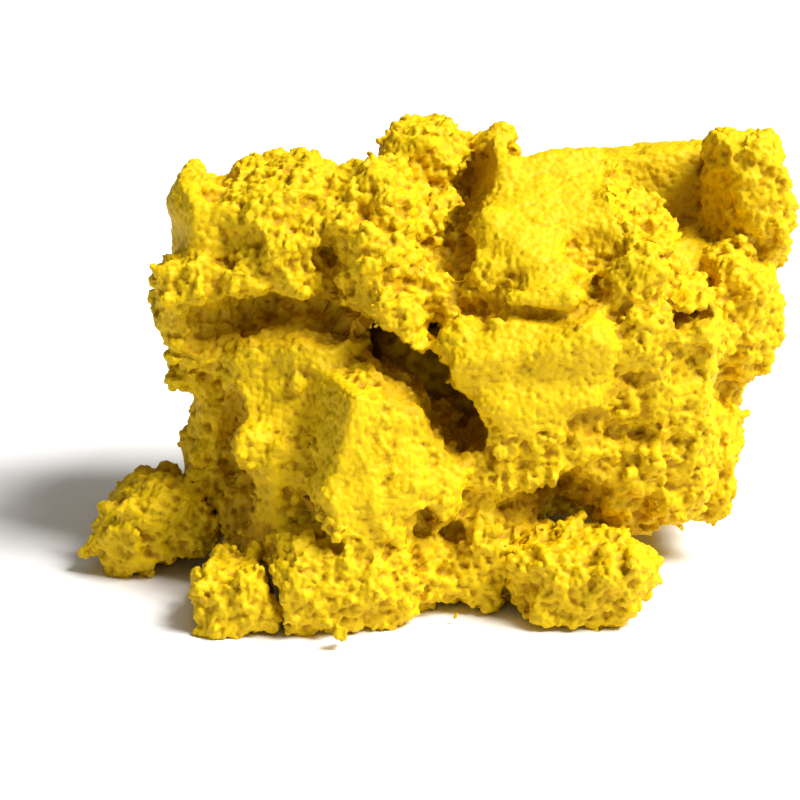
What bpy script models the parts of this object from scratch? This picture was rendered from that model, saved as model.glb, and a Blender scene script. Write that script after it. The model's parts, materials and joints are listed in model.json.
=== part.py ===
"""A torn, kneaded lump of detailing clay, as the chunks it breaks into along its cracks.

Metres, +Z up. The lump stands on z = 0 with its long side along X and its front towards -Y.
Each chunk is a faceted boulder with pressed faces. Where two chunks meet, a flat crack parts
them, placed by how far each one reaches towards the other, so no two chunks ever overlap.
"""

import math
from collections import namedtuple

import bmesh
import bpy
from mathutils import Euler, Matrix, Vector, noise

# Driving dimensions
LUMP_LENGTH = 0.0628  # overall, along X
LUMP_DEPTH = 0.0394  # overall, along Y
LUMP_HEIGHT = 0.0380  # overall, along Z
CRACK = 0.0003  # width of the crack between two chunks
LUMPINESS = 0.13  # how far a chunk's surface swells and dips, as a share of its radius
SWELL_PITCH = 0.0060  # distance from one swelling to the next
FLAKE_THICKNESS = 0.0024  # the thin flake that stands out on the left
LEFT_FOOT_LENGTH = 0.0135  # the foot that sticks out on the left, along X
RIGHT_FOOT_LENGTH = 0.0140  # the foot at the front right, along X
CRUMB_SIZE = 0.0015  # the loose crumb that lies in front of the lump
DRIP_SIZE = 0.0026  # the crumb that hangs off the front edge

# The chunks' places and sizes below are drawn in millimetres, for a lump of this size
DRAWN_LENGTH, DRAWN_DEPTH, DRAWN_HEIGHT = 0.0628, 0.0394, 0.0380
STRETCH = Vector((LUMP_LENGTH / DRAWN_LENGTH, LUMP_DEPTH / DRAWN_DEPTH, LUMP_HEIGHT / DRAWN_HEIGHT))
MM = 0.001

BLOCKINESS = 0.62  # 1 leaves a chunk round, and less squares it up
SLIVER = 0.00002  # points closer than this are one
YELLOW = (0.93, 0.66, 0.012)
SHADED_YELLOW = (0.62, 0.40, 0.02)

Chunk = namedtuple("Chunk", "name at size turn pressed")


def chunk(name, at, size, turn=(0, 0, 0), pressed=()):
    """A chunk's centre and full size in millimetres, its turn in degrees, and its pressed faces,
    each as a direction and the share of the chunk's reach at which the face lies."""
    return Chunk(name, Vector(at), Vector(size), turn, pressed)


def chunks():
    """Every chunk of the lump, from the top down and from left to right."""
    left_foot = LEFT_FOOT_LENGTH / MM / STRETCH.x
    right_foot = RIGHT_FOOT_LENGTH / MM / STRETCH.x
    flake = FLAKE_THICKNESS / MM / STRETCH.z
    crumb = CRUMB_SIZE / MM
    drip = DRIP_SIZE / MM
    return [
        # The row along the top
        chunk("left_shoulder", (-20.4, 4.5, 29.8), (7.5, 14, 11.5), (0, 4, 0),
              [((-1, -0.25, 0.1), 0.70)]),
        chunk("upper_left_chunk", (-13.8, 4.5, 29.3), (14.5, 16, 13.5), (0, 0, 6),
              [((0.1, -1, -0.5), 0.80), ((-0.45, 0, 1), 0.84)]),
        chunk("left_cheek", (-20.3, 1.5, 23.9), (9.0, 12, 11.5), (0, 14, 0),
              [((-1, 0, -0.8), 0.70)]),
        chunk("upper_middle_ridge", (-5.6, 3.5, 29.5), (9, 15, 14.5), (-14, 0, 0),
              [((0.8, -0.2, 0.5), 0.80)]),
        chunk("top_knob", (-1.4, 10.0, 32.6), (9.5, 11, 11), (0, 0, 0),
              [((-0.8, -0.6, 0), 0.74), ((0.7, 0, 0.7), 0.86)]),
        chunk("groove_floor", (1.6, 5.0, 27.5), (9, 14, 13), (0, 0, 0),
              [((0.6, -0.6, 0.5), 0.80)]),
        chunk("top_pillar", (5.0, 8.5, 32.2), (5, 12, 10.5), (0, 0, 0),
              [((-1, -0.3, 0.1), 0.62)]),
        chunk("plateau", (10.4, 1.2, 29.2), (16, 17, 12.5), (30, 0, 0),
              [((0.1, -0.5, 0.86), 0.76)]),
        chunk("right_ridge", (17.2, 1.5, 30.3), (6.5, 14, 8.5), (25, 0, 0)),
        chunk("ridge_nodule", (16.3, -5.3, 28.5), (5.5, 6.5, 5.5)),
        chunk("back_slab", (19.0, 14.0, 25.5), (22, 9, 20), (0, -5, 0),
              [((0, -1, 0.25), 0.60), ((0, 1, 0.1), 0.80), ((-0.1, 0, 1), 0.92)]),
        chunk("scoop_floor", (21.5, 5.5, 21.5), (12, 15, 14), (0, 0, 0),
              [((0.1, -0.6, 0.8), 0.70)]),
        chunk("right_fringe_top", (27.2, 9.5, 30.8), (8, 11, 12), (0, 0, 0),
              [((-1, -0.6, 0), 0.70)]),
        # The middle
        chunk("star_crumb", (-3.9, -6.0, 24.7), (5, 7, 6.5)),
        chunk("centre_left_block", (-12.6, -1.5, 18.8), (12, 15, 13.5), (0, 0, -10),
              [((-0.2, -0.9, 0.35), 0.74)]),
        chunk("centre_right_block", (7.3, -4.5, 20.8), (15.5, 16, 12.5), (8, 0, 0),
              [((0.1, -1, 0.3), 0.76), ((-0.8, -0.6, -0.2), 0.70), ((0, 0, 1), 0.88)]),
        chunk("right_shoulder", (18.3, -2.5, 21.8), (12, 15, 13), (0, 0, 10),
              [((0.9, -0.2, -0.1), 0.82)]),
        chunk("right_fringe_middle", (25.3, 5.5, 21.5), (9.5, 15, 14), (0, 0, 0),
              [((1, 0, -0.6), 0.78)]),
        chunk("left_flake", (-22.2, 0.5, 17.4), (5.5, 6, flake), (0, 10, 0)),
        chunk("left_blade", (-20.2, 1.0, 12.4), (4.8, 8, 8), (0, 20, 0)),
        chunk("front_wedge", (-5.4, -8.0, 13.5), (13.5, 17, 15.5), (0, 0, 25),
              [((-0.85, -0.45, 0), 0.66), ((0.35, -0.9, 0.35), 0.72), ((0.7, -0.2, 0.7), 0.80)]),
        chunk("centre_bridge", (6.6, -5.5, 13.0), (15, 13, 10.5)),
        # The bottom
        chunk("lower_left_block", (-14.0, -3.5, 9.0), (12, 16, 15), (0, 0, 15),
              [((-0.5, -0.8, 0), 0.82)]),
        chunk("left_slope", (-19.8, 1.5, 7.5), (7, 10, 9)),
        chunk("lower_right_chunk", (18.0, -2.0, 11.8), (13, 15, 14)),
        chunk("right_fringe_low", (22.4, 3.5, 10.2), (9, 14, 14.5)),
        chunk("left_foot", (-18.4 - left_foot / 2, -0.6, 4.4), (left_foot, 10, 8), (0, -18, 0),
              [((-0.7, 0, 0.7), 0.74)]),
        chunk("front_left_foot", (-17.6, -13.2, 2.5), (7.8, 9, 7)),
        chunk("lower_front_left", (-9.2, -12.0, 4.0), (13, 13, 9)),
        chunk("lower_front_right", (1.2, -6.8, 4.4), (14, 13, 10)),
        chunk("drip_crumb", (-8.3, -19.0, drip / 2), (drip, drip, drip)),
        chunk("right_foot", (5.6 + right_foot / 2, -11.6, 3.3), (right_foot, 10, 8), (0, 0, -8),
              [((0.9, -0.3, -0.45), 0.72), ((0.6, 0, 0.8), 0.82), ((-0.7, -0.6, 0), 0.86)]),
        chunk("loose_crumb", (1.3, -14.4, crumb / 2), (crumb, crumb, crumb)),
        # The back
        chunk("back_upper_left", (-15.0, 12.5, 22.0), (17, 12, 15)),
        chunk("back_upper_middle", (0.5, 13.0, 22.5), (16, 12, 17)),
        chunk("back_lower_left", (-12.0, 10.0, 8.0), (18, 18, 16)),
        chunk("back_lower_middle", (3.0, 9.5, 7.5), (16, 18, 15)),
        chunk("back_lower_right", (15.0, 11.0, 9.5), (15, 15, 16)),
        chunk("core", (2.0, 4.5, 15.5), (22, 13, 14)),
    ]


def squared(point):
    """A point of the unit sphere, pushed out towards the cube's corners."""
    return Vector([math.copysign(abs(value) ** BLOCKINESS, value) for value in point])


def centre_of(piece):
    return piece.at * STRETCH * MM


def turn_of(piece):
    return Euler([math.radians(angle) for angle in piece.turn]).to_matrix()


def half_size(piece):
    return piece.size * STRETCH * MM / 2


def boulder(piece):
    """The chunk before it meets its neighbours: a blocky, lumpy boulder with its pressed faces."""
    mesh = bmesh.new()
    bmesh.ops.create_icosphere(mesh, subdivisions=2, radius=1)
    centre, turn, half = centre_of(piece), turn_of(piece), half_size(piece)
    for vert in mesh.verts:
        place = turn @ (squared(vert.co) * half)
        swell = noise.noise((centre + place) / SWELL_PITCH)
        vert.co = centre + place * (1 + LUMPINESS * swell)
    close_up(mesh)
    for direction, share in piece.pressed:
        outward = Vector(direction).normalized()
        cut(mesh, centre + outward * share * reach(mesh, centre, outward), outward)
    return mesh


def close_up(mesh):
    """The convex skin over the mesh's points. A convex chunk stays one piece however it is cut."""
    bmesh.ops.delete(mesh, geom=mesh.edges[:], context="EDGES_FACES")
    bmesh.ops.remove_doubles(mesh, verts=mesh.verts[:], dist=SLIVER)
    bmesh.ops.convex_hull(mesh, input=mesh.verts[:])
    inside = [vert for vert in mesh.verts if not vert.link_faces]
    bmesh.ops.delete(mesh, geom=inside, context="VERTS")


def reach(mesh, centre, direction):
    """How far the mesh goes from the centre along the direction."""
    return max((vert.co - centre).dot(direction) for vert in mesh.verts)


def cut(mesh, place, outward):
    """Takes off what lies beyond a plane."""
    everything = mesh.verts[:] + mesh.edges[:] + mesh.faces[:]
    bmesh.ops.bisect_plane(mesh, geom=everything, dist=SLIVER / 4, plane_co=place,
                           plane_no=outward, clear_outer=True)
    close_up(mesh)


def spread(piece):
    """The ellipsoid of the chunk as a matrix: wide directions count for more."""
    turn, half = turn_of(piece), half_size(piece)
    return turn @ Matrix.Diagonal(half * half) @ turn.transposed()


def crack_between(first, second, meshes):
    """The plane that parts two chunks as a point and a direction, or None where they are clear."""
    start, end = centre_of(first), centre_of(second)
    direction = ((spread(first) + spread(second)).inverted() @ (end - start)).normalized()
    apart = (end - start).dot(direction)
    from_first = reach(meshes[first.name], start, direction)
    from_second = reach(meshes[second.name], end, -direction)
    if from_first + from_second < apart - CRACK:
        return None
    return start + direction * (apart * from_first / (from_first + from_second)), direction


def break_apart(pieces, meshes):
    """Cuts every two chunks that meet, each half a crack's width short of the plane between."""
    cracks = []
    for index, first in enumerate(pieces):
        for second in pieces[index + 1:]:
            crack = crack_between(first, second, meshes)
            if crack:
                cracks.append((first, second, *crack))
    for first, second, place, direction in cracks:
        cut(meshes[first.name], place - direction * CRACK / 2, direction)
        cut(meshes[second.name], place + direction * CRACK / 2, -direction)


def clay(name, height_share):
    """Yellow clay, a little darker on the chunks near the ground."""
    material = bpy.data.materials.new("clay_" + name)
    material.use_nodes = True
    shader = material.node_tree.nodes["Principled BSDF"]
    colour = Vector(SHADED_YELLOW).lerp(Vector(YELLOW), min(1, 0.35 + height_share))
    shader.inputs["Base Color"].default_value = (*colour, 1)
    shader.inputs["Roughness"].default_value = 0.72
    shader.inputs["Metallic"].default_value = 0
    material.diffuse_color = (*colour, 1)
    return material


def middle_of(meshes):
    """The point on the ground under the middle of the whole lump's box."""
    places = [vert.co for mesh in meshes for vert in mesh.verts]
    low = Vector([min(place[axis] for place in places) for axis in range(2)] + [0])
    high = Vector([max(place[axis] for place in places) for axis in range(2)] + [0])
    return (low + high) / 2


def place_chunk(piece, mesh, middle, collection):
    """The finished chunk as an object, with its origin at the chunk's centre."""
    centre = centre_of(piece)
    bmesh.ops.recalc_face_normals(mesh, faces=mesh.faces[:])
    bmesh.ops.translate(mesh, verts=mesh.verts[:], vec=-centre)
    data = bpy.data.meshes.new(piece.name)
    mesh.to_mesh(data)
    mesh.free()
    data.materials.append(clay(piece.name, centre.z / LUMP_HEIGHT))
    item = bpy.data.objects.new(piece.name, data)
    item.location = centre - middle
    collection.objects.link(item)


def build():
    for item in list(bpy.data.objects):
        bpy.data.objects.remove(item)
    collection = bpy.data.collections.new("clay_lump")
    bpy.context.scene.collection.children.link(collection)
    pieces = chunks()
    meshes = {piece.name: boulder(piece) for piece in pieces}
    break_apart(pieces, meshes)
    for mesh in meshes.values():
        cut(mesh, Vector((0, 0, 0)), Vector((0, 0, -1)))
    middle = middle_of(meshes.values())
    for piece in pieces:
        place_chunk(piece, meshes[piece.name], middle, collection)


build()
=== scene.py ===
"""Finishes the chunks of a torn lump of detailing clay: skin, pressed faces, colour and stage.

Laid out as a Blender add-on and run as a script. Lengths are in metres, in the lump's own frame:
+Z up, +X along the lump's long side, -Y towards the front. The chunks' tables are in millimetres.
"""

import json
import math

import bpy
import numpy as np
from bpy.props import FloatProperty, FloatVectorProperty, IntProperty, PointerProperty
from mathutils import Euler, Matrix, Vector
from mathutils.bvhtree import BVHTree

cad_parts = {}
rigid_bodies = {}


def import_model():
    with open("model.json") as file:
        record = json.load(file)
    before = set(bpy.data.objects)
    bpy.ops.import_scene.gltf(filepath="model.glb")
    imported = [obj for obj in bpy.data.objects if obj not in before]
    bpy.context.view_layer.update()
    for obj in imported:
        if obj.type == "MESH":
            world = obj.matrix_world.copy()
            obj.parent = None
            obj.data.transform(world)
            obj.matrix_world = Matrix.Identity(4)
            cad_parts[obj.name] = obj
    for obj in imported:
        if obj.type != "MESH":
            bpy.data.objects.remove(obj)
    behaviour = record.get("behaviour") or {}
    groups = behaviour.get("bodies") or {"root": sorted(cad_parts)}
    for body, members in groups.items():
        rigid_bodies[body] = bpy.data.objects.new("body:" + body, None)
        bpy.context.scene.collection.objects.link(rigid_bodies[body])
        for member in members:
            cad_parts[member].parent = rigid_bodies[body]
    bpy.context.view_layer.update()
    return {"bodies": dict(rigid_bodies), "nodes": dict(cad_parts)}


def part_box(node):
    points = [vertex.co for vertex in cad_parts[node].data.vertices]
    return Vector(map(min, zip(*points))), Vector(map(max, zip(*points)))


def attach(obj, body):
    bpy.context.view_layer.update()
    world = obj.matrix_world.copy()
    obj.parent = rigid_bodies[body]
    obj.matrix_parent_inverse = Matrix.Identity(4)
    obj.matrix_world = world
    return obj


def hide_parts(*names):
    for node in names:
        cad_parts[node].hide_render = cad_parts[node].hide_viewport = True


bl_info = {
    "name": "Crumbled Clay Lump",
    "version": (1, 0, 0),
    "blender": (4, 5, 0),
    "location": "View3D > Sidebar > Clay Lump",
    "description": "Gives a torn lump of detailing clay its crumbly skin, colour and stage",
    "category": "Add Mesh",
}

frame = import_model()
MM = 0.001

# The skin, from solids to grains
SOLIDS_VOXEL = 0.45 * MM  # of the solids and lobes together, before anything is cut
CUTTER_VOXEL = 0.3 * MM
CUT_VOXEL = 0.4 * MM  # of the lump once its hollows are cut, and of each single piece
NODULE_VOXEL = 1.6  # of the skin that carries the nodules, against its final voxel
SKIN_VOXEL = 0.17 * MM
WELD_DISTANCE = 0.01 * MM
MIDDLE_OF_CLOUDS = 0.5  # the height in a cloud texture at which the skin stays where it was
MIDDLE_OF_CELLS = 0.2  # the same for nodules
PRESSED_FROM = 1.8 * MM  # a pressed face is as torn as the rest from this far under it
PRESSED_TO = 0.6 * MM  # and wholly pressed from here
# The soft skin and crevice depth below set where the shade is painted
SMOOTHING_ROUNDS = 14  # of the soft skin that shows where the crevices are
CREVICE = 0.25 * MM  # how far under the soft skin the deepest crevices lie
SHARP = math.radians(75)  # edges turned further than this stay sharp

# Crumbs
SUNK = (-0.2, 0.5)  # how far out from the skin a crumb's middle lies, against its radius
SQUASH = (0.7, 1.3)
PARETO_SHAPE = 2.0
LEAST_CRUMB = 0.2  # the smallest crumb's radius against the largest
CRUMB_SPREAD = 0.2

# Breaking the skin into pieces
NEAR = 3 * MM  # a chunk's skin lies no further than this from its solid
LABEL_DEPTH = 0.8 * MM  # how far under the skin its chunk is looked up
BESIDE = 1.4  # how far out still counts as beside a round form, squared, against its radius
CRACK_SHADE = 0.75  # how deep the clay in a crack counts, for the painted shade in its colour
SMALL_PATCH = 300  # patches of skin with fewer faces are closed just behind themselves
WALL = 1.1 * MM  # how far the walls between chunks run straight in from the skin
WALL_SHARE = 0.35  # or this share of the clay's thickness, where that is less
THICKEST = 12 * MM
RAY_START = 0.02 * MM  # under the skin, where a ray through the clay starts
SOLID_MARGIN = 0.3 * MM  # how far inside its solid a patch is closed
DRAWS = 400  # places drawn in a chunk's box, for those of them that lie in its solid
TRIALS = 36  # how many of them are tried, and from how many points of the rim
WAY_SHARES = (0.15, 0.3, 0.5, 0.75, 1.0)  # where the way from a rim to such a place is looked at

# The clay
SHINE = 0.15
GRAIN_SCALE = 2200
GRAIN_DETAIL = 3
ROUGHNESS = (0.42, 0.72)
PAINTED_SHADE_RANGE = (0.5, 0.95)  # of the depth, from the skin's colour to the painted crevice shade
BUMP_STRENGTH = 0.5
BUMP_DISTANCE = 0.2 * MM

# The stage
AIM = Vector((-3.5, 0.5, 15.3)) * MM  # what the camera and the lights look at
KEY_LIGHT_SIDE = Vector((0.60, -0.24, 0.77))  # the side that the light comes from
TOP_LIGHT_SIDE = Vector((0.25, 0.1, 1))
LIGHTS_AWAY = 1.6
LENS = 130  # millimetres
CLIP_START = 0.01
FLOOR_SIZE = 3
FLOOR_ROUGHNESS = 0.9


# ---------------------------------------------------------------- what each chunk is like

class Form:
    """A round or square form: where it is and its full size in millimetres, its turn in degrees."""

    def __init__(self, at, size, turn=(0, 0, 0), square=False):
        self.at = Vector(at) * MM
        self.size = Vector(size) * MM
        self.turn = [math.radians(angle) for angle in turn]
        self.square = square


def ball(at, size, turn=(0, 0, 0)):
    return Form(at, size, turn)


def block(at, size, turn=(0, 0, 0)):
    return Form(at, size, turn, square=True)


class Chunk:
    """How one chunk is finished: how crumbly it is, the faces that a thumb has pressed smooth, and
    the lobes that stand out from it."""

    def __init__(self, name, crumbs=1.0, pressed=(), lobes=(), swell=0.15, voxel=0.17):
        self.name = name
        self.crumbs = crumbs
        self.pressed = pressed
        self.lobes = lobes
        self.swell = swell * MM
        self.voxel = voxel * MM
        self.body = name if name in frame["bodies"] else "lump"


TOP_ROW = [
    Chunk("left_shoulder", 0.5, [((-1, -0.25, 0.1), 1.0), ((0, -1, 0), 0.6)], [
        ball((-22.0, 4.0, 32.6), (4.0, 8.0, 4.0))]),
    Chunk("upper_left_chunk", 1.0, [], [
        ball((-12.6, 4.0, 34.0), (5.0, 8.0, 4.2)),
        ball((-12.3, -3.5, 26.6), (3.2, 4.0, 4.6), (0, 10, 0)),
        ball((-15.8, -3.0, 28.0), (3.6, 4.0, 4.2)),
        ball((-13.5, -3.2, 30.5), (4.5, 4.0, 4.0)),
        ball((-10.8, -2.8, 30.0), (3.6, 4.0, 6.0))]),
    Chunk("upper_middle_ridge", 1.0, [], [
        ball((-5.4, -4.5, 29.6), (6.5, 5.0, 6.0)),
        ball((-7.2, -4.0, 26.4), (4.6, 5.0, 4.4)),
        ball((-8.2, -2.0, 32.2), (3.4, 5.0, 3.4)),
        ball((-6.4, 2.0, 35.6), (3.4, 6.0, 5.0)),
        ball((-3.4, -2.5, 31.8), (3.6, 5.0, 3.6)),
        ball((-0.6, -3.6, 27.0), (5.0, 5.0, 4.6)),
        ball((2.4, -4.6, 25.6), (5.0, 5.0, 3.6))]),
    Chunk("top_knob", 0.9, [((-0.8, -0.6, 0), 0.8)], [
        ball((-1.4, 8.0, 36.6), (5.0, 6.0, 3.4)),
        ball((-4.0, 8.5, 35.2), (3.0, 5.0, 3.6))]),
    Chunk("groove_floor", 0.9),
    Chunk("top_pillar", 0.7, [((-1, -0.3, 0.1), 0.9)], [
        block((5.6, 5.5, 34.4), (2.6, 7.0, 5.0), (0, -6, 0))]),
    Chunk("plateau", 0.5, [((0.1, -0.5, 0.86), 0.95)], [
        ball((4.4, -2.0, 31.4), (3.4, 4.0, 5.0)),
        ball((4.0, -4.5, 28.4), (4.0, 4.0, 3.0)),
        ball((8.5, -8.0, 27.6), (8.0, 3.4, 2.6))]),
    Chunk("right_ridge", 0.9, [], [
        ball((15.6, 0.5, 34.2), (3.0, 5.0, 3.0)),
        ball((18.4, 0.0, 32.6), (4.0, 5.0, 3.4)),
        ball((18.8, -3.0, 29.6), (3.6, 4.0, 4.4))]),
    Chunk("ridge_nodule", 1.0),
    Chunk("right_fringe_top", 0.8, [((-1, -0.6, 0), 0.5)], [
        ball((24.8, 8.0, 36.0), (3.6, 6.0, 3.6)),
        ball((28.4, 8.0, 36.2), (4.0, 6.0, 3.0))]),
]
MIDDLE = [
    Chunk("left_cheek", 1.0, [], [
        ball((-17.8, -3.4, 27.4), (2.6, 3.4, 3.6)),
        ball((-20.8, -2.8, 27.6), (2.0, 3.0, 3.6)),
        ball((-22.9, 0.0, 27.0), (3.0, 5.0, 4.0)),
        ball((-23.2, 0.5, 23.4), (3.0, 5.0, 4.0))]),
    Chunk("star_crumb", 0.6, [], [
        ball((-4.2, -8.0, 26.8), (3.4, 3.0, 2.2), (0, 35, 0)),
        ball((-5.2, -8.0, 24.8), (3.4, 2.6, 1.6), (0, -10, 0)),
        ball((-2.6, -8.4, 24.2), (2.6, 2.6, 4.6), (0, -20, 0)),
        ball((-2.2, -8.0, 27.4), (1.8, 2.6, 3.4), (0, 25, 0))]),
    Chunk("centre_left_block", 0.6, [((-0.2, -0.9, 0.35), 0.8)], [
        ball((-10.6, -4.6, 21.0), (8.5, 6.0, 8.0), (0, 20, 0)),
        ball((-13.6, -4.4, 18.0), (7.0, 5.0, 8.0))]),
    Chunk("centre_right_block", 0.5, [((0.1, -1, 0.3), 0.85), ((-0.8, -0.6, -0.2), 0.3)], [
        block((7.4, -6.4, 21.8), (13.5, 8.5, 8.0), (20, -9, 2)),
        ball((1.6, -8.6, 23.6), (4.0, 4.0, 4.4)),
        ball((12.5, -9.4, 24.0), (6.0, 4.0, 4.4)),
        ball((5.4, -10.2, 18.2), (7.0, 4.0, 5.0), (0, 30, 0))]),
    Chunk("right_shoulder", 0.9, [((0.9, -0.2, -0.1), 0.5)], [
        ball((17.5, -8.5, 23.8), (5.5, 4.0, 5.0)),
        ball((20.5, -7.0, 18.4), (5.0, 4.0, 4.4))]),
    Chunk("right_fringe_middle", 0.8),
    Chunk("left_flake", 0.4),
    Chunk("left_blade", 0.4, [((0.5, -0.9, 0), 0.9)]),
    Chunk("front_wedge", 0.6, [((-0.85, -0.45, 0), 0.9), ((0.35, -0.9, 0.35), 0.6)], [
        block((-6.6, -8.5, 15.6), (9.0, 11.0, 9.0), (0, 18, 22)),
        block((-6.4, -9.5, 10.4), (9.0, 11.0, 8.0), (0, -22, 22)),
        ball((-3.6, -13.4, 12.4), (6.0, 4.0, 6.0))]),
    Chunk("centre_bridge", 1.1, [], [
        ball((6.0, -10.0, 16.4), (7.0, 4.0, 4.0)),
        ball((11.4, -9.0, 14.8), (5.0, 4.0, 5.0))]),
]
BOTTOM = [
    Chunk("lower_left_block", 1.0, [((-0.5, -0.8, 0), 0.4)], [
        ball((-16.6, -8.5, 14.2), (3.2, 3.4, 4.4)),
        ball((-14.6, -9.4, 12.6), (3.4, 3.0, 3.4))]),
    Chunk("left_slope", 0.8),
    Chunk("lower_right_chunk", 1.0, [], [
        ball((17.5, -8.4, 12.0), (6.0, 3.4, 6.0)),
        ball((21.0, -6.8, 13.8), (3.6, 4.0, 5.0))]),
    Chunk("right_fringe_low", 0.8),
    Chunk("lower_front_left", 1.1),
    Chunk("lower_front_right", 1.1),
]
SINGLES = [
    Chunk("drip_crumb", 0.4, swell=0.1),
    Chunk("left_foot", 0.9),
    Chunk("front_left_foot", 1.1),
    Chunk("right_foot", 0.9),
    Chunk("loose_crumb", 0.4, swell=0.05),
    Chunk("core", 0.6, voxel=0.4),
]
BACK = [
    Chunk("back_slab", 0.2, [((0, -1, 0.25), 1.0), ((0, 1, 0.1), 0.9), ((-0.1, 0, 1), 0.9)]),
    Chunk("scoop_floor", 0.5, [((0.1, -0.6, 0.8), 1.0)]),
    Chunk("back_upper_left", 0.9),
    Chunk("back_upper_middle", 0.9),
    Chunk("back_lower_left", 0.9),
    Chunk("back_lower_middle", 0.9),
    Chunk("back_lower_right", 0.9),
]

# Cracks and holes, cut out of the lump's chunks that they reach; shade falls deep in them, and
# their clay is also painted in deep shade
CRACKS = [
    # Under the upper left chunk, and up between it and the ridge
    ball((-15.0, -4.5, 24.4), (15.0, 9.0, 3.6), (0, -6, 0)),
    ball((-19.4, -4.0, 22.6), (6.0, 6.0, 3.0), (0, -30, 0)),
    ball((-9.4, -4.0, 28.0), (1.5, 8.0, 8.0), (0, -4, 0)),
    ball((-10.2, -4.5, 24.4), (5.0, 8.0, 4.0)),
    # Down between the left blade and the blocks in front
    ball((-18.4, -5.5, 13.4), (3.0, 8.0, 10.0), (0, 10, 0)),
    # The dark rent down the middle
    ball((-3.6, -7.5, 21.8), (3.8, 18.0, 8.0), (0, -45, 0)),
    ball((0.8, -9.0, 17.6), (4.0, 16.0, 8.0), (0, -32, 0)),
    # The groove beside the knob, and the holes at its foot
    ball((2.5, 3.0, 33.2), (2.0, 13.0, 11.0), (0, 25, 0)),
    ball((1.9, -1.0, 29.6), (2.6, 7.0, 2.0), (0, 20, 0)),
    ball((-2.2, -3.0, 29.3), (1.8, 6.0, 1.4)),
    # The cracks along the plateau's lip
    ball((13.2, -6.5, 28.0), (2.4, 5.0, 1.2)),
    ball((1.9, -7.5, 26.4), (5.5, 7.0, 0.9)),
    ball((8.0, -9.5, 26.4), (7.0, 6.0, 1.3), (0, 6, 0)),
    ball((12.6, -8.0, 26.9), (4.6, 6.0, 1.1), (0, -18, 0)),
    ball((21.4, -7.0, 25.6), (5.0, 6.0, 1.4), (0, -10, 0)),
    # The pits beside the centre right block
    ball((12.9, -11.0, 16.8), (4.2, 5.0, 3.4)),
    ball((16.6, -9.8, 20.4), (5.6, 4.0, 1.0), (0, -22, 0)),
    ball((17.2, -9.0, 15.4), (1.4, 3.0, 1.6)),
    # The arch at the front right, and the holes to its left
    ball((10.6, -11.5, 9.6), (8.0, 14.0, 5.6), (0, -20, 0)),
    ball((6.0, -12.0, 9.1), (2.6, 8.0, 1.8)),
    ball((-1.4, -15.0, 9.0), (2.8, 9.0, 3.4)),
    ball((1.2, -13.5, 7.4), (2.8, 9.0, 3.4)),
    # The hollow above the feet at the left
    ball((-18.2, -9.0, 7.6), (3.6, 10.0, 9.0), (0, 15, 0)),
    ball((-16.4, -13.0, 7.0), (4.5, 7.0, 3.0)),
]

# Dents and notches, open to the light
DENTS = [
    # Over the left shoulder, and the notches beside the upper left chunk
    ball((-21.0, 3.0, 37.5), (12.0, 30.0, 6.0), (0, 4, 0)),
    ball((-19.6, 3.0, 35.6), (3.6, 30.0, 4.6)),
    ball((-13.0, 3.0, 39.1), (12.0, 30.0, 6.0)),
    ball((-8.8, 4.0, 37.2), (4.0, 30.0, 3.6)),
    # The plateau's dent, the scoop and the shoulder's hollow
    ball((13.0, -4.5, 31.8), (5.5, 5.0, 5.5)),
    ball((20.4, -1.5, 37.2), (13.0, 24.0, 14.0)),
    ball((21.6, -9.6, 21.4), (4.6, 5.0, 6.0)),
    # The centre right block's shallow dent
    ball((9.4, -13.6, 20.2), (8.0, 4.0, 5.5)),
    # Outside the right fringe's foot, and under the front edge
    ball((29.5, 2.0, 8.0), (6.5, 30.0, 18.0), (0, 12, 0)),
    ball((0.5, -20.0, -1.0), (14.0, 12.0, 5.0)),
    ball((-3.0, -19.4, 1.0), (8.0, 9.0, 7.0)),
]


# ---------------------------------------------------------------- settings

class ClayShape(bpy.types.PropertyGroup):
    """Sizes of the clay's lumps, nodules and crumbs."""

    lump_size: FloatProperty(
        name="Lump size", description="Distance from one broad swelling to the next",
        default=0.0060, min=0.001, unit="LENGTH", precision=5)
    lump_height: FloatProperty(
        name="Lump height", description="How far the broad swellings stand out",
        default=0.0022, min=0.0, unit="LENGTH", precision=5)
    nodule_size: FloatProperty(
        name="Nodule size", description="Width of the torn clay's nodules",
        default=0.0034, min=0.0005, unit="LENGTH", precision=5)
    nodule_height: FloatProperty(
        name="Nodule height", description="How far the nodules stand out",
        default=0.0013, min=0.0, unit="LENGTH", precision=5)
    crumb_size: FloatProperty(
        name="Crumb size", description="Radius of the largest crumbs on the skin",
        default=0.0007, min=0.0001, unit="LENGTH", precision=5)
    crumb_cover: FloatProperty(
        name="Crumb cover", description="Crumbs for each square millimetre",
        default=0.5, min=0.0, max=3.0)
    grain_size: FloatProperty(
        name="Grain size", description="Width of the fine grains",
        default=0.0009, min=0.0002, unit="LENGTH", precision=5)
    grain_height: FloatProperty(
        name="Grain height", description="How far the fine grains stand out",
        default=0.0005, min=0.0, unit="LENGTH", precision=5)
    seed: IntProperty(name="Seed", description="Where the crumbs fall", default=7, min=0)


class ClayColours(bpy.types.PropertyGroup):
    """The clay's own colour, and the colour of the painted shade in its crevices and cracks."""

    skin: FloatVectorProperty(
        name="Skin", description="Colour of clay in the light", subtype="COLOR",
        size=3, min=0, max=1, default=(0.72, 0.475, 0.002))
    # Painted shade: the clay is darkened to this colour deep between the crumbs and in the cracks,
    # where shade falls
    crevice: FloatVectorProperty(
        name="Crevice", description="Colour deep between the crumbs", subtype="COLOR",
        size=3, min=0, max=1, default=(0.46, 0.25, 0.0015))


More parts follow.
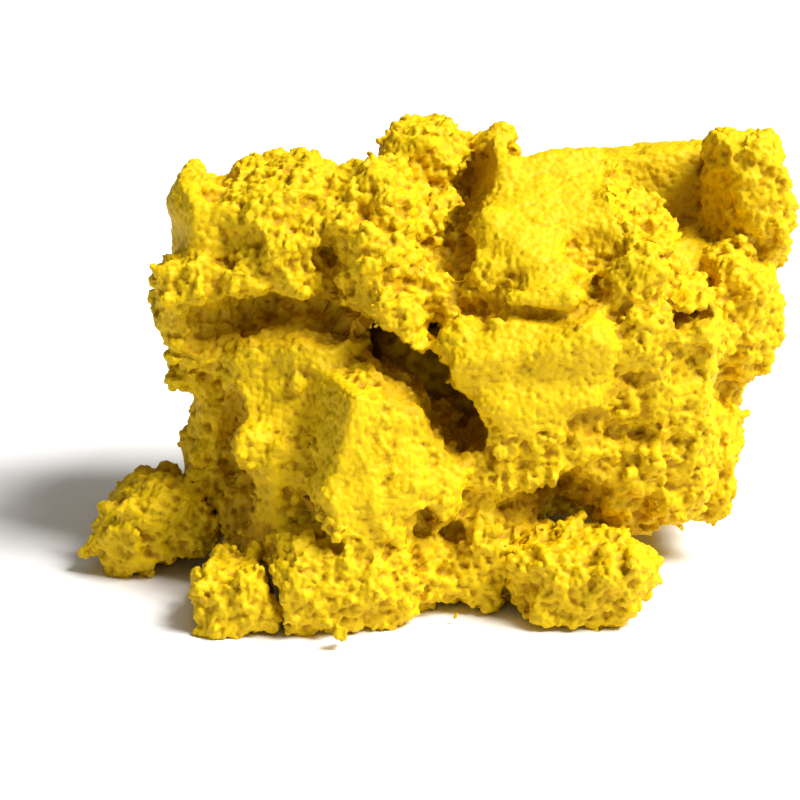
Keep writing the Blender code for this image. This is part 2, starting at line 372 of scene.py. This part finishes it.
class ClayStage(bpy.types.PropertyGroup):
    """The floor, the lights and the camera."""

    camera_distance: FloatProperty(
        name="Camera distance", description="From the camera to the lump",
        default=0.256, min=0.05, unit="LENGTH", precision=4)
    camera_tilt: FloatProperty(
        name="Camera tilt", description="How far the camera looks down",
        default=math.radians(20), subtype="ANGLE")
    key_size: FloatProperty(
        name="Key light size", description="Side of the square soft light",
        default=0.70, min=0.01, unit="LENGTH")
    key_power: FloatProperty(
        name="Key light power", description="Power of the soft light",
        default=49.0, min=0, unit="POWER")
    top_size: FloatProperty(
        name="Top light size", description="Side of the broad light overhead",
        default=1.2, min=0.01, unit="LENGTH")
    top_power: FloatProperty(
        name="Top light power", description="Power of the light overhead",
        default=4.0, min=0, unit="POWER")
    fill: FloatProperty(
        name="Fill light", description="Brightness of the pale room all around",
        default=0.12, min=0)
    floor: FloatVectorProperty(
        name="Floor", description="Colour of the floor", subtype="COLOR",
        size=3, min=0, max=1, default=(0.93, 0.92, 0.91))


# ---------------------------------------------------------------- modelling by modifiers

def select_only(*items):
    bpy.ops.object.select_all(action="DESELECT")
    for item in items:
        item.select_set(True)
    bpy.context.view_layer.objects.active = items[0]


def apply_modifier(item, kind, **settings):
    """Adds a modifier with these settings and applies it."""
    modifier = item.modifiers.new(kind.lower(), kind)
    for name, value in settings.items():
        setattr(modifier, name, value)
    select_only(item)
    bpy.ops.object.modifier_apply(modifier=modifier.name)


def remesh(item, voxel):
    """One closed skin over everything in the mesh."""
    apply_modifier(item, "REMESH", mode="VOXEL", voxel_size=voxel)


def clouds(size):
    """Soft swellings."""
    name = f"clouds_{size:.5f}"
    texture = bpy.data.textures.get(name) or bpy.data.textures.new(name, "CLOUDS")
    texture.noise_scale = size
    texture.noise_depth = 2
    return texture


def cells(size):
    """Round-topped nodules with sharp creases between them."""
    name = f"cells_{size:.5f}"
    texture = bpy.data.textures.get(name) or bpy.data.textures.new(name, "VORONOI")
    texture.distance_metric = "DISTANCE_SQUARED"
    texture.noise_scale = size
    return texture


def raise_skin(item, texture, height, middle, mask=""):
    """Moves the skin in and out along its normals, as the texture says."""
    apply_modifier(item, "DISPLACE", texture=texture, texture_coords="LOCAL", strength=height,
                   mid_level=middle, vertex_group=mask)


def points_of(mesh):
    places = np.empty(len(mesh.vertices) * 3, np.float32)
    mesh.vertices.foreach_get("co", places)
    return places.reshape(-1, 3).astype(float)


def normals_of(mesh):
    normals = np.empty(len(mesh.vertices) * 3, np.float32)
    mesh.vertex_normals.foreach_get("vector", normals)
    return normals.reshape(-1, 3).astype(float)


def smooth_step(low, high, value):
    share = np.clip((value - low) / (high - low), 0, 1)
    return share * share * (3 - 2 * share)


def paint(item, name, weights, levels=16):
    """A vertex group with these weights, in a few even steps."""
    group = item.vertex_groups.get(name) or item.vertex_groups.new(name=name)
    step = np.rint(np.clip(weights, 0, 1) * levels).astype(int)
    for level in range(levels + 1):
        chosen = np.flatnonzero(step == level)
        if len(chosen):
            group.add(chosen.tolist(), level / levels, "REPLACE")
    return name


# ---------------------------------------------------------------- whose skin it is, and how torn

def planes_of(name):
    """The planes of a chunk's flat sides, as directions and distances."""
    mesh = frame["nodes"][name].data
    directions = np.empty(len(mesh.polygons) * 3, np.float32)
    mesh.polygons.foreach_get("normal", directions)
    centres = np.empty(len(mesh.polygons) * 3, np.float32)
    mesh.polygons.foreach_get("center", centres)
    directions = directions.reshape(-1, 3).astype(float)
    return directions, (directions * centres.reshape(-1, 3)).sum(1)


def owners(chunks, places):
    """The number of each place's chunk: the one that it is deepest in, or nearest to."""
    nearest = np.full(len(places), np.inf)
    owner = np.zeros(len(places), int)
    for number, chunk in enumerate(chunks):
        low, high = (np.array(corner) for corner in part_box(chunk.name))
        near = ((places > low - NEAR) & (places < high + NEAR)).all(1).nonzero()[0]
        directions, distances = planes_of(chunk.name)
        away = (places[near] @ directions.T - distances).max(1)
        closer = away < nearest[near]
        nearest[near[closer]] = away[closer]
        owner[near[closer]] = number
    return owner


def torn_share(chunk, places):
    """1 on a chunk's torn skin, and less on its pressed faces."""
    solid = points_of(frame["nodes"][chunk.name].data)
    share = np.ones(len(places))
    for direction, amount in chunk.pressed:
        along = np.array(Vector(direction).normalized())
        face = (solid @ along).max() + chunk.swell
        share *= 1 - amount * smooth_step(face - PRESSED_FROM, face - PRESSED_TO, places @ along)
    return share


def torn(chunks, places):
    """How torn the skin is, and how many crumbs it carries, for each place."""
    owner = owners(chunks, places)
    share, crumbs = np.ones(len(places)), np.ones(len(places))
    for number, chunk in enumerate(chunks):
        own = owner == number
        share[own] = torn_share(chunk, places[own])
        crumbs[own] = share[own] * chunk.crumbs
    return share, crumbs


def torn_mask(item, chunks, least):
    """A vertex group that is 1 on torn skin, and at least a little on pressed faces."""
    share, _ = torn(chunks, points_of(item.data))
    return paint(item, "torn", least + (1 - least) * share)


# ---------------------------------------------------------------- forms and crumbs

def add_form(form):
    """The form as an object of its own, with its place in its mesh."""
    bpy.ops.object.select_all(action="DESELECT")
    if form.square:
        bpy.ops.mesh.primitive_cube_add(size=1)
    else:
        bpy.ops.mesh.primitive_ico_sphere_add(subdivisions=3, radius=0.5)
    item = bpy.context.object
    item.location, item.rotation_euler, item.scale = form.at, form.turn, form.size
    bpy.ops.object.transform_apply()
    return item


def crumb_form():
    """The points and faces of one round crumb."""
    bpy.ops.object.select_all(action="DESELECT")
    bpy.ops.mesh.primitive_ico_sphere_add(subdivisions=2, radius=1)
    item = bpy.context.object
    points = points_of(item.data)
    faces = np.array([face.vertices[:] for face in item.data.polygons])
    bpy.data.objects.remove(item)
    return points, faces


def crumbs_at(places, outward, radii, random):
    """Squashed round crumbs, half sunk in the skin, as one object."""
    form, faces = crumb_form()
    count = len(places)
    sunk = random.uniform(*SUNK, count)
    blobs = form * random.uniform(*SQUASH, (count, 1, 3)) * radii[:, None, None]
    blobs += (places + outward * (radii * sunk)[:, None])[:, None]
    corners = faces + (np.arange(count) * len(form))[:, None, None]
    mesh = bpy.data.meshes.new("crumbs")
    mesh.from_pydata(blobs.reshape(-1, 3), [], corners.reshape(-1, 3))
    item = bpy.data.objects.new("crumbs", mesh)
    bpy.context.scene.collection.objects.link(item)
    return item


def scatter_crumbs(item, chunks, shape):
    """Crumbs of every size on the torn skin."""
    random = np.random.default_rng(shape.seed)
    places, outward = points_of(item.data), normals_of(item.data)
    area = sum(face.area for face in item.data.polygons)
    chance = area / MM ** 2 / len(places) * shape.crumb_cover * torn(chunks, places)[1]
    chosen = np.flatnonzero(chance > random.uniform(0, 1, len(places)))
    sizes = random.pareto(PARETO_SHAPE, len(chosen)) * CRUMB_SPREAD + LEAST_CRUMB
    radii = shape.crumb_size * np.clip(sizes, 0, 1)
    crumbs = crumbs_at(places[chosen], outward[chosen], radii, random)
    select_only(item, crumbs)
    bpy.ops.object.join()


# ---------------------------------------------------------------- from solids to crumbly clay

def solids_of(chunks, name):
    """A new object with the chunks' own solids and their lobes."""
    parts = []
    for chunk in chunks:
        part = bpy.data.objects.new(chunk.name, frame["nodes"][chunk.name].data.copy())
        bpy.context.scene.collection.objects.link(part)
        apply_modifier(part, "WELD", merge_threshold=WELD_DISTANCE)
        apply_modifier(part, "DISPLACE", strength=chunk.swell, mid_level=0)
        parts += [part, *(add_form(form) for form in chunk.lobes)]
    select_only(*parts)
    if len(parts) > 1:
        bpy.ops.object.join()
    parts[0].name = name
    return parts[0]


def cut_hollows(item):
    """Cuts the cracks, holes and dents, joined into one cutter."""
    cutters = [add_form(form) for form in CRACKS + DENTS]
    select_only(*cutters)
    bpy.ops.object.join()
    remesh(cutters[0], CUTTER_VOXEL)
    apply_modifier(item, "BOOLEAN", object=cutters[0], operation="DIFFERENCE",
                   solver="MANIFOLD")
    bpy.data.objects.remove(cutters[0])


def roughen(item, chunks, shape, voxel):
    """Raises the lumps, the nodules, the crumbs and the grains, in that order."""
    mask = torn_mask(item, chunks, least=0.3)
    raise_skin(item, clouds(shape.lump_size), shape.lump_height, MIDDLE_OF_CLOUDS, mask)
    raise_skin(item, cells(shape.nodule_size), -shape.nodule_height, MIDDLE_OF_CELLS, mask)
    remesh(item, NODULE_VOXEL * voxel)
    mask = torn_mask(item, chunks, least=0.1)
    raise_skin(item, cells(shape.nodule_size / 2), -shape.nodule_height / 2, MIDDLE_OF_CELLS, mask)
    raise_skin(item, clouds(shape.lump_size / 4), shape.lump_height / 3, MIDDLE_OF_CLOUDS, mask)
    scatter_crumbs(item, chunks, shape)
    remesh(item, voxel)
    mask = torn_mask(item, chunks, least=0.3)
    raise_skin(item, cells(shape.grain_size), -shape.grain_height, MIDDLE_OF_CELLS, mask)
    raise_skin(item, clouds(shape.grain_size), shape.grain_height, MIDDLE_OF_CLOUDS, mask)
    raise_skin(item, cells(shape.grain_size / 2), -shape.grain_height / 2, MIDDLE_OF_CELLS)
    item.vertex_groups.clear()
    rest_on_floor(item)


def rest_on_floor(item):
    """Presses flat whatever hangs below the floor."""
    places = points_of(item.data)
    places[:, 2] = np.maximum(places[:, 2], 0)
    item.data.vertices.foreach_set("co", places.astype(np.float32).ravel())
    item.data.update()


def depth_of(item):
    """How deep each point lies, from 0 on a tip to 1 in a crevice."""
    mesh = item.data
    edges = np.empty(len(mesh.edges) * 2, np.int32)
    mesh.edges.foreach_get("vertices", edges)
    first, second = edges.reshape(-1, 2).T
    ends, others = np.concatenate([first, second]), np.concatenate([second, first])
    count = np.bincount(ends, minlength=len(mesh.vertices))[:, None]
    places = points_of(mesh)
    soft = places
    for _ in range(SMOOTHING_ROUNDS):
        moved = [np.bincount(ends, soft[others, axis], len(places)) for axis in range(3)]
        soft = np.stack(moved, 1) / np.maximum(count, 1)
    depth = ((soft - places) * normals_of(mesh)).sum(1)
    return np.clip(depth / CREVICE, -1, 1) * 0.5 + 0.5


def keep_depth(mesh, depth):
    """Stores how deep the skin lies, for the painted crevice shade in the clay's colour."""
    attribute = mesh.attributes.new("depth", "FLOAT", "POINT")
    attribute.data.foreach_set("value", np.asarray(depth, np.float32))


def finish_chunk(item, chunk, clay):
    item.name = chunk.name + "_skin"
    select_only(item)
    bpy.ops.object.shade_smooth_by_angle(angle=SHARP)
    item.data.materials.clear()
    item.data.materials.append(clay)
    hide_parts(chunk.name)
    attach(item, chunk.body)


def make_single(chunk, shape, clay):
    """A chunk with a whole skin of its own."""
    item = solids_of([chunk], chunk.name + "_skin")
    remesh(item, CUT_VOXEL)
    apply_modifier(item, "SMOOTH", factor=0.5, iterations=3)
    roughen(item, [chunk], shape, chunk.voxel)
    # The depth sets how much painted crevice shade the skin gets
    keep_depth(item.data, depth_of(item))
    finish_chunk(item, chunk, clay)


def inside(forms, places):
    """Which places are in one of these round forms, or just beside it."""
    found = np.zeros(len(places), bool)
    for form in forms:
        turn = np.array(Euler(form.turn).to_matrix())
        along = (places - form.at) @ turn / (np.array(form.size) / 2)
        found |= (along ** 2).sum(1) < BESIDE
    return found


def thickness(places, inward, skin):
    """How thick the clay is under each place of the skin, or 0 where the way inward meets none."""
    thick = np.empty(len(places))
    for number, (place, way) in enumerate(zip(places, inward)):
        distance = skin.ray_cast(place + way * RAY_START, way)[3]
        thick[number] = 0 if distance is None else min(distance, THICKEST)
    return thick


def anchor_for(chunk, rim, halfway, skin, random):
    """The place inside the clay that can be reached from the rim with the fewest ways through air:
    in the chunk's own solid, or one of the places halfway through its clay."""
    low, high = (np.array(corner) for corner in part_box(chunk.name))
    solid = random.uniform(low, high, (DRAWS, 3))
    directions, distances = planes_of(chunk.name)
    outside = (solid @ directions.T - distances).max(1)
    solid = solid[outside < -SOLID_MARGIN][:TRIALS]
    rim = random.choice(rim, TRIALS)
    fewest, best = np.inf, halfway[0]
    for place in np.concatenate([solid, halfway]):
        crossed = 0
        for share in WAY_SHARES:
            for way in rim + (place - rim) * share:
                nearest, outward, _, _ = skin.find_nearest(way)
                crossed += (Vector(way) - nearest).dot(outward) > 0
        if crossed < fewest:
            fewest, best = crossed, place
    return best


def patches(quads, count):
    """The number of the connected patch that each face is in."""
    lowest = np.arange(count)
    while True:
        before = lowest.copy()
        least = lowest[quads].min(1)
        for corner in range(4):
            np.minimum.at(lowest, quads[:, corner], least)
        lowest = lowest[lowest]
        if (lowest == before).all():
            return lowest[quads[:, 0]]


def piece_of(chunk, places, inward, depth, quads, skin, random):
    """One chunk's share of the skin. Each patch of it is closed by a wall that runs from its rim
    straight in, and by faces from there to one place inside."""
    size = len(places)
    starts, ends = quads.reshape(-1), np.roll(quads, -1, 1).reshape(-1)
    open_edges = ~np.isin(starts * size + ends, ends * size + starts)
    starts, ends = starts[open_edges], ends[open_edges]
    used, corners = np.unique(quads, return_inverse=True)
    corners = corners.reshape(-1, 4)
    patch = patches(corners, len(used))
    rim = np.unique(starts)
    thick = thickness(places[rim], inward[rim], skin)
    wall = places[rim] + inward[rim] * np.minimum(WALL, WALL_SHARE * thick)[:, None]
    first, second = np.searchsorted(used, starts), np.searchsorted(used, ends)
    first_in = np.searchsorted(rim, starts) + len(used)
    second_in = np.searchsorted(rim, ends) + len(used)
    apex = np.empty(len(starts), int)
    anchors = []
    edge_patch = np.repeat(patch, 4)[open_edges]
    for number in np.unique(edge_patch):
        own = edge_patch == number
        around = wall[first_in[own] - len(used)]
        if (patch == number).sum() < SMALL_PATCH:
            anchors.append(around.mean(0))
        else:
            trial = random.choice(quads[patch == number, 0], TRIALS)
            half = thickness(places[trial], inward[trial], skin)[:, None] / 2
            halfway = places[trial] + inward[trial] * half
            anchors.append(anchor_for(chunk, around, halfway, skin, random))
        apex[own] = len(used) + len(rim) + len(anchors) - 1
    faces = corners.tolist()
    faces += np.stack([second, first, first_in, second_in], 1).tolist()
    faces += np.stack([second_in, first_in, apex], 1).tolist()
    points = np.concatenate([places[used], wall, np.reshape(anchors, (-1, 3))])
    mesh = bpy.data.meshes.new(chunk.name)
    mesh.from_pydata(points, [], faces)
    # The walls and places inside count as deepest, in full painted shade
    keep_depth(mesh, np.append(depth[used], np.ones(len(points) - len(used))))
    item = bpy.data.objects.new(chunk.name, mesh)
    bpy.context.scene.collection.objects.link(item)
    return item


def break_apart(item, chunks, shape):
    """Breaks the lump's skin into one closed object for each chunk."""
    mesh = item.data
    quads = np.empty(len(mesh.loops), np.int32)
    mesh.loops.foreach_get("vertex_index", quads)
    quads = quads.reshape(-1, 4).astype(np.int64)
    places = points_of(mesh)
    under = places[quads].mean(1) - normals_of(mesh)[quads].mean(1) * LABEL_DEPTH
    owner = owners(chunks, under)
    # The mask of the painted shade: the crevices' depth, and at least CRACK_SHADE inside the cracks
    depth = np.maximum(depth_of(item), CRACK_SHADE * inside(CRACKS, places))
    skin = BVHTree.FromObject(item, bpy.context.evaluated_depsgraph_get())
    random = np.random.default_rng(shape.seed)
    inward = -normals_of(mesh)
    pieces = [piece_of(chunk, places, inward, depth, quads[owner == number], skin, random)
              for number, chunk in enumerate(chunks)]
    bpy.data.objects.remove(item)
    return pieces


def make_lump(chunks, shape, clay):
    """The whole lump's skin, broken into its chunks."""
    item = solids_of(chunks, "lump")
    remesh(item, SOLIDS_VOXEL)
    apply_modifier(item, "SMOOTH", factor=0.5, iterations=2)
    cut_hollows(item)
    remesh(item, CUT_VOXEL)
    roughen(item, chunks, shape, SKIN_VOXEL)
    for chunk, piece in zip(chunks, break_apart(item, chunks, shape)):
        finish_chunk(piece, chunk, clay)


# ---------------------------------------------------------------- the clay itself

def clay_material(colours):
    """Greasy yellow clay with fine grain and a faint shine, and painted shade: darker brown deep in
    its crevices and cracks.
    """
    material = bpy.data.materials.get("yellow_clay")
    if material:
        return material
    material = bpy.data.materials.new("yellow_clay")
    material.use_nodes = True
    nodes, links = material.node_tree.nodes, material.node_tree.links
    shader = nodes["Principled BSDF"]
    shader.inputs["Specular IOR Level"].default_value = SHINE
    place = nodes.new("ShaderNodeTexCoord")
    depth = nodes.new("ShaderNodeAttribute")
    depth.attribute_name = "depth"
    # Painted shade: the base colour goes from the skin's colour to the crevice colour as the depth
    # grows
    painted_shade = nodes.new("ShaderNodeMix")
    painted_shade.data_type = "RGBA"
    painted_shade.inputs["A"].default_value = (*colours.skin, 1)
    painted_shade.inputs["B"].default_value = (*colours.crevice, 1)
    deep = nodes.new("ShaderNodeMapRange")
    deep.interpolation_type = "SMOOTHSTEP"
    deep.inputs["From Min"].default_value = PAINTED_SHADE_RANGE[0]
    deep.inputs["From Max"].default_value = PAINTED_SHADE_RANGE[1]
    links.new(depth.outputs["Fac"], deep.inputs["Value"])
    links.new(deep.outputs["Result"], painted_shade.inputs["Factor"])
    links.new(painted_shade.outputs["Result"], shader.inputs["Base Color"])
    grain = nodes.new("ShaderNodeTexNoise")
    grain.inputs["Scale"].default_value = GRAIN_SCALE
    grain.inputs["Detail"].default_value = GRAIN_DETAIL
    links.new(place.outputs["Object"], grain.inputs["Vector"])
    rough = nodes.new("ShaderNodeMapRange")
    rough.inputs["To Min"].default_value = ROUGHNESS[0]
    rough.inputs["To Max"].default_value = ROUGHNESS[1]
    links.new(grain.outputs["Fac"], rough.inputs["Value"])
    links.new(rough.outputs["Result"], shader.inputs["Roughness"])
    bump = nodes.new("ShaderNodeBump")
    bump.inputs["Strength"].default_value = BUMP_STRENGTH
    bump.inputs["Distance"].default_value = BUMP_DISTANCE
    links.new(grain.outputs["Fac"], bump.inputs["Height"])
    links.new(bump.outputs["Normal"], shader.inputs["Normal"])
    return material


# ---------------------------------------------------------------- stage

def plain(name, colour, roughness):
    material = bpy.data.materials.new(name)
    material.use_nodes = True
    shader = material.node_tree.nodes["Principled BSDF"]
    shader.inputs["Base Color"].default_value = (*colour, 1)
    shader.inputs["Roughness"].default_value = roughness
    return material


def area_light(name, side, size, power):
    """A square soft light on one side of the lump, turned to it."""
    light = bpy.data.lights.new(name, "AREA")
    light.size = size
    light.energy = power
    item = bpy.data.objects.new(name, light)
    item.location = AIM + side.normalized() * LIGHTS_AWAY
    item.rotation_euler = (AIM - item.location).to_track_quat("-Z", "Y").to_euler()
    bpy.context.scene.collection.objects.link(item)


def add_camera(stage):
    camera = bpy.data.cameras.new("camera")
    camera.lens = LENS
    camera.clip_start = CLIP_START
    item = bpy.data.objects.new("camera", camera)
    ahead = Vector((0, math.cos(stage.camera_tilt), -math.sin(stage.camera_tilt)))
    item.location = AIM - ahead * stage.camera_distance
    item.rotation_euler = ahead.to_track_quat("-Z", "Y").to_euler()
    bpy.context.scene.collection.objects.link(item)
    bpy.context.scene.camera = item


def add_floor(stage):
    bpy.ops.object.select_all(action="DESELECT")
    bpy.ops.mesh.primitive_plane_add(size=FLOOR_SIZE, location=(0, 0, 0))
    floor = bpy.context.object
    floor.name = "floor"
    floor.data.materials.append(plain("floor_white", stage.floor, FLOOR_ROUGHNESS))


def add_world(strength):
    world = bpy.data.worlds.new("studio")
    bpy.context.scene.world = world
    world.use_nodes = True
    background = world.node_tree.nodes["Background"]
    background.inputs["Color"].default_value = (1, 1, 1, 1)
    background.inputs["Strength"].default_value = strength


# ---------------------------------------------------------------- operators and panel

class CLAY_OT_lump(bpy.types.Operator):
    """Give the lump its crumbly skin and break it into its chunks"""

    bl_idname = "clay.lump"
    bl_label = "Lump"
    bl_options = {"REGISTER", "UNDO"}

    def execute(self, context):
        scene = context.scene
        clay = clay_material(scene.clay_colours)
        make_lump(TOP_ROW + MIDDLE + BOTTOM + BACK, scene.clay_shape, clay)
        return {"FINISHED"}


class CLAY_OT_singles(bpy.types.Operator):
    """Finish the feet that pull off, the crumbs and the core"""

    bl_idname = "clay.singles"
    bl_label = "Feet, crumbs and core"
    bl_options = {"REGISTER", "UNDO"}

    def execute(self, context):
        scene = context.scene
        clay = clay_material(scene.clay_colours)
        for chunk in SINGLES:
            make_single(chunk, scene.clay_shape, clay)
        return {"FINISHED"}


class CLAY_OT_stage(bpy.types.Operator):
    """Add the floor, the lights and the camera"""

    bl_idname = "clay.stage"
    bl_label = "Stage"
    bl_options = {"REGISTER", "UNDO"}

    def execute(self, context):
        stage = context.scene.clay_stage
        add_floor(stage)
        add_world(stage.fill)
        area_light("top", TOP_LIGHT_SIDE, stage.top_size, stage.top_power)
        area_light("key", KEY_LIGHT_SIDE, stage.key_size, stage.key_power)
        add_camera(stage)
        context.scene.view_settings.view_transform = "Standard"
        return {"FINISHED"}


OPERATORS = (CLAY_OT_lump, CLAY_OT_singles, CLAY_OT_stage)


class CLAY_PT_panel(bpy.types.Panel):
    """Lists the clay lump's settings and steps"""

    bl_idname = "CLAY_PT_panel"
    bl_label = "Clay Lump"
    bl_space_type = "VIEW_3D"
    bl_region_type = "UI"
    bl_category = "Clay Lump"

    def draw(self, context):
        scene = context.scene
        for group in (scene.clay_shape, scene.clay_colours, scene.clay_stage):
            box = self.layout.box()
            for name in group.__annotations__:
                box.prop(group, name)
        for operator in OPERATORS:
            self.layout.operator(operator.bl_idname)


GROUPS = {"clay_shape": ClayShape, "clay_colours": ClayColours, "clay_stage": ClayStage}
CLASSES = (*GROUPS.values(), *OPERATORS, CLAY_PT_panel)


def register():
    for each in CLASSES:
        bpy.utils.register_class(each)
    for name, group in GROUPS.items():
        setattr(bpy.types.Scene, name, PointerProperty(type=group))


def unregister():
    for name in GROUPS:
        delattr(bpy.types.Scene, name)
    for each in reversed(CLASSES):
        bpy.utils.unregister_class(each)


def corners(box):
    return [list(corner) for corner in box]


def main():
    register()
    bpy.ops.clay.lump()
    bpy.ops.clay.singles()
    bpy.ops.clay.stage()


if __name__ == "__main__":
    main()
